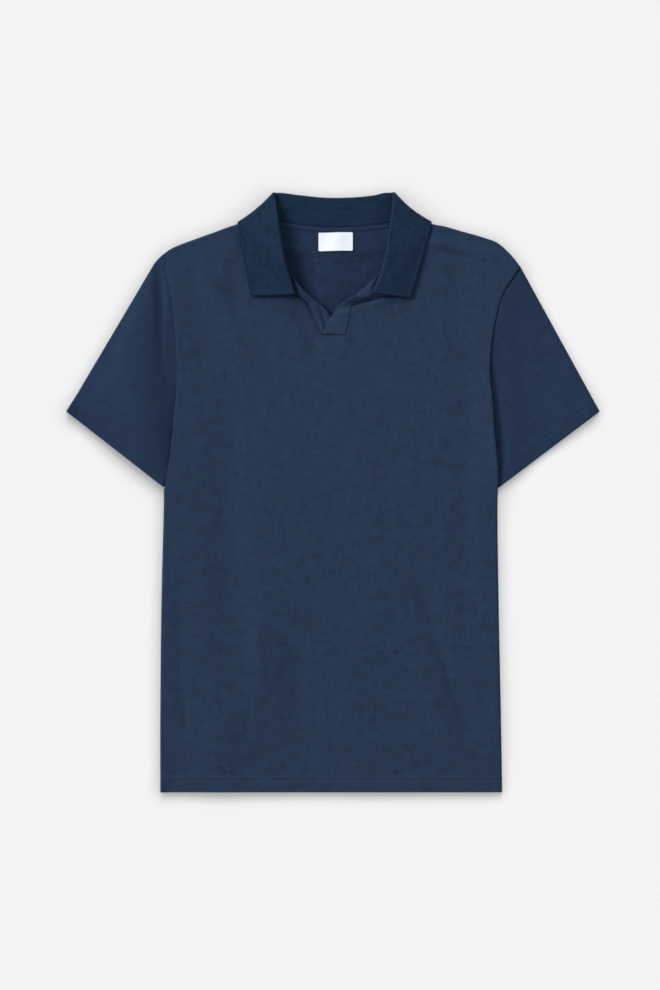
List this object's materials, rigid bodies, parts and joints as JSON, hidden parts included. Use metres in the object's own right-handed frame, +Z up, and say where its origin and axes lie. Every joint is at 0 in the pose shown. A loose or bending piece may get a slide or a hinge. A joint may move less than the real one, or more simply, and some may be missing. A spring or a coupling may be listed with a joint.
{
  "type": "polo shirt",
  "caption": "Short-sleeved navy polo shirt laid flat, front up, with a soft rib collar spread open over a short neck slit that has no buttons.",
  "frame": {"origin": "centre of the shirt's outline, on the surface that it lies on", "axes": "+X towards the wearer's left, +Y from the hem towards the collar, +Z up from the surface, out of the front"},
  "size_m": [0.6514, 0.7325, 0.0132],
  "materials": {
    "jersey": "matte navy cotton jersey with a fine smooth knit",
    "rib": "matte dark navy flat-knit rib",
    "tape": "matte navy jersey tape",
    "label": "white woven satin, blank"
  },
  "bodies": {
    "root": {"back": "jersey", "front": "jersey", "collar": "rib", "placket_right": "jersey", "placket_left": "jersey", "neck_tape": "tape", "label": "label", "sleeve_right": "jersey", "sleeve_left": "jersey"}
  },
  "joints": []
}
